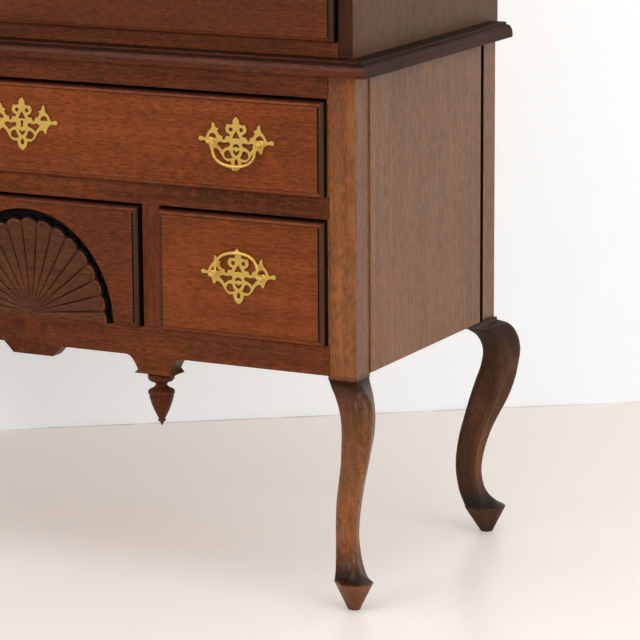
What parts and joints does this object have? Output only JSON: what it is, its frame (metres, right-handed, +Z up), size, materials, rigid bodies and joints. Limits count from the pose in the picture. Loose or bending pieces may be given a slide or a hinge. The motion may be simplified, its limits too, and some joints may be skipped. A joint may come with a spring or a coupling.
{
  "type": "highboy",
  "caption": "Highboy chest: an upper case of long drawers on a lower case with a carved shell drawer, turned pendants, cabriole legs and pierced brass bail pulls.",
  "frame": {"origin": "on the floor, under the middle of the whole piece's width and depth", "axes": "+X to the right as seen from the front, +Y to the back, +Z up"},
  "size_m": [1.0052, 0.485, 1.524],
  "materials": {
    "front_wood": "satin varnished mahogany, rails and apron",
    "drawer_wood": "satin varnished red-brown mahogany",
    "side_wood": "satin varnished mahogany with a greyer sheen",
    "leg_wood": "satin varnished, orange-brown with dark shading",
    "moulding_wood": "dark satin varnished mahogany",
    "inside_wood": "plain unvarnished secondary wood",
    "brass": "soft polished yellow brass"
  },
  "bodies": {
    "root": {"leg_front_left": "leg_wood", "leg_rear_left": "leg_wood", "divider_left": "front_wood", "pendant_left": "moulding_wood", "leg_front_right": "leg_wood", "leg_rear_right": "leg_wood", "divider_right": "front_wood", "pendant_right": "moulding_wood", "side_panel_right": "side_wood", "side_panel_left": "side_wood", "rear_bracket_right": "leg_wood", "rear_bracket_left": "leg_wood", "lower_back": "inside_wood", "lower_top": "front_wood", "middle_frame": "front_wood", "bottom_frame": "inside_wood", "apron": "front_wood", "waist_moulding": "moulding_wood", "upper_side_left": "side_wood", "upper_side_right": "side_wood", "upper_back": "inside_wood", "upper_top": "front_wood", "cornice": "moulding_wood", "upper_bottom": "front_wood", "upper_frame_1": "front_wood", "upper_frame_2": "front_wood", "upper_frame_3": "front_wood"},
    "drawer_long": {"drawer_long": "drawer_wood", "pull_plate_long_left": "brass", "pull_plate_long_right": "brass", "escutcheon_long": "brass"},
    "drawer_left": {"drawer_left": "drawer_wood", "pull_plate_left": "brass"},
    "drawer_centre": {"drawer_centre": "drawer_wood"},
    "drawer_right": {"drawer_right": "drawer_wood", "pull_plate_right": "brass"},
    "drawer_upper_1": {"drawer_upper_1": "drawer_wood", "pull_plate_upper_1_left": "brass", "pull_plate_upper_1_right": "brass"},
    "drawer_upper_2": {"drawer_upper_2": "drawer_wood", "pull_plate_upper_2_left": "brass", "pull_plate_upper_2_right": "brass"},
    "drawer_upper_3": {"drawer_upper_3": "drawer_wood", "pull_plate_upper_3_left": "brass", "pull_plate_upper_3_right": "brass"},
    "drawer_upper_4": {"drawer_upper_4": "drawer_wood", "pull_plate_upper_4_left": "brass", "pull_plate_upper_4_right": "brass"},
    "bail_long_left": {"bail_long_left": "brass"},
    "bail_long_right": {"bail_long_right": "brass"},
    "bail_left": {"bail_left": "brass"},
    "bail_right": {"bail_right": "brass"},
    "bail_upper_1_left": {"bail_upper_1_left": "brass"},
    "bail_upper_1_right": {"bail_upper_1_right": "brass"},
    "bail_upper_2_left": {"bail_upper_2_left": "brass"},
    "bail_upper_2_right": {"bail_upper_2_right": "brass"},
    "bail_upper_3_left": {"bail_upper_3_left": "brass"},
    "bail_upper_3_right": {"bail_upper_3_right": "brass"},
    "bail_upper_4_left": {"bail_upper_4_left": "brass"},
    "bail_upper_4_right": {"bail_upper_4_right": "brass"}
  },
  "joints": [
    {"name": "drawer_long_slide", "type": "slide", "parent": "root", "child": "drawer_long", "axis": [0, -1, 0], "range_m": [0, 0.28]},
    {"name": "drawer_left_slide", "type": "slide", "parent": "root", "child": "drawer_left", "axis": [0, -1, 0], "range_m": [0, 0.28]},
    {"name": "drawer_centre_slide", "type": "slide", "parent": "root", "child": "drawer_centre", "axis": [0, -1, 0], "range_m": [0, 0.28]},
    {"name": "drawer_right_slide", "type": "slide", "parent": "root", "child": "drawer_right", "axis": [0, -1, 0], "range_m": [0, 0.28]},
    {"name": "drawer_upper_1_slide", "type": "slide", "parent": "root", "child": "drawer_upper_1", "axis": [0, -1, 0], "range_m": [0, 0.28]},
    {"name": "drawer_upper_2_slide", "type": "slide", "parent": "root", "child": "drawer_upper_2", "axis": [0, -1, 0], "range_m": [0, 0.28]},
    {"name": "drawer_upper_3_slide", "type": "slide", "parent": "root", "child": "drawer_upper_3", "axis": [0, -1, 0], "range_m": [0, 0.28]},
    {"name": "drawer_upper_4_slide", "type": "slide", "parent": "root", "child": "drawer_upper_4", "axis": [0, -1, 0], "range_m": [0, 0.28]},
    {"name": "bail_long_left_hinge", "type": "hinge", "parent": "drawer_long", "child": "bail_long_left", "pos_m": [-0.304, -0.22024, 0.57435], "axis": [-1, 0, 0], "range_deg": [-8, 188]},
    {"name": "bail_long_right_hinge", "type": "hinge", "parent": "drawer_long", "child": "bail_long_right", "pos_m": [0.304, -0.22024, 0.57435], "axis": [-1, 0, 0], "range_deg": [-8, 188]},
    {"name": "bail_left_hinge", "type": "hinge", "parent": "drawer_left", "child": "bail_left", "pos_m": [-0.3051, -0.22024, 0.40975], "axis": [-1, 0, 0], "range_deg": [-8, 188]},
    {"name": "bail_right_hinge", "type": "hinge", "parent": "drawer_right", "child": "bail_right", "pos_m": [0.3051, -0.22024, 0.40975], "axis": [1, 0, 0], "range_deg": [0, 197]},
    {"name": "bail_upper_1_left_hinge", "type": "hinge", "parent": "drawer_upper_1", "child": "bail_upper_1_left", "pos_m": [-0.304, -0.21284, 0.80665], "axis": [-1, 0, 0], "range_deg": [-8, 188]},
    {"name": "bail_upper_1_right_hinge", "type": "hinge", "parent": "drawer_upper_1", "child": "bail_upper_1_right", "pos_m": [0.304, -0.21284, 0.80665], "axis": [-1, 0, 0], "range_deg": [-8, 188]},
    {"name": "bail_upper_2_left_hinge", "type": "hinge", "parent": "drawer_upper_2", "child": "bail_upper_2_left", "pos_m": [-0.304, -0.21284, 1.02265], "axis": [-1, 0, 0], "range_deg": [-8, 188]},
    {"name": "bail_upper_2_right_hinge", "type": "hinge", "parent": "drawer_upper_2", "child": "bail_upper_2_right", "pos_m": [0.304, -0.21284, 1.02265], "axis": [-1, 0, 0], "range_deg": [-8, 188]},
    {"name": "bail_upper_3_left_hinge", "type": "hinge", "parent": "drawer_upper_3", "child": "bail_upper_3_left", "pos_m": [-0.304, -0.21284, 1.21265], "axis": [-1, 0, 0], "range_deg": [-8, 188]},
    {"name": "bail_upper_3_right_hinge", "type": "hinge", "parent": "drawer_upper_3", "child": "bail_upper_3_right", "pos_m": [0.304, -0.21284, 1.21265], "axis": [-1, 0, 0], "range_deg": [-8, 188]},
    {"name": "bail_upper_4_left_hinge", "type": "hinge", "parent": "drawer_upper_4", "child": "bail_upper_4_left", "pos_m": [-0.304, -0.21284, 1.38015], "axis": [-1, 0, 0], "range_deg": [-8, 188]},
    {"name": "bail_upper_4_right_hinge", "type": "hinge", "parent": "drawer_upper_4", "child": "bail_upper_4_right", "pos_m": [0.304, -0.21284, 1.38015], "axis": [-1, 0, 0], "range_deg": [-8, 188]}
  ]
}
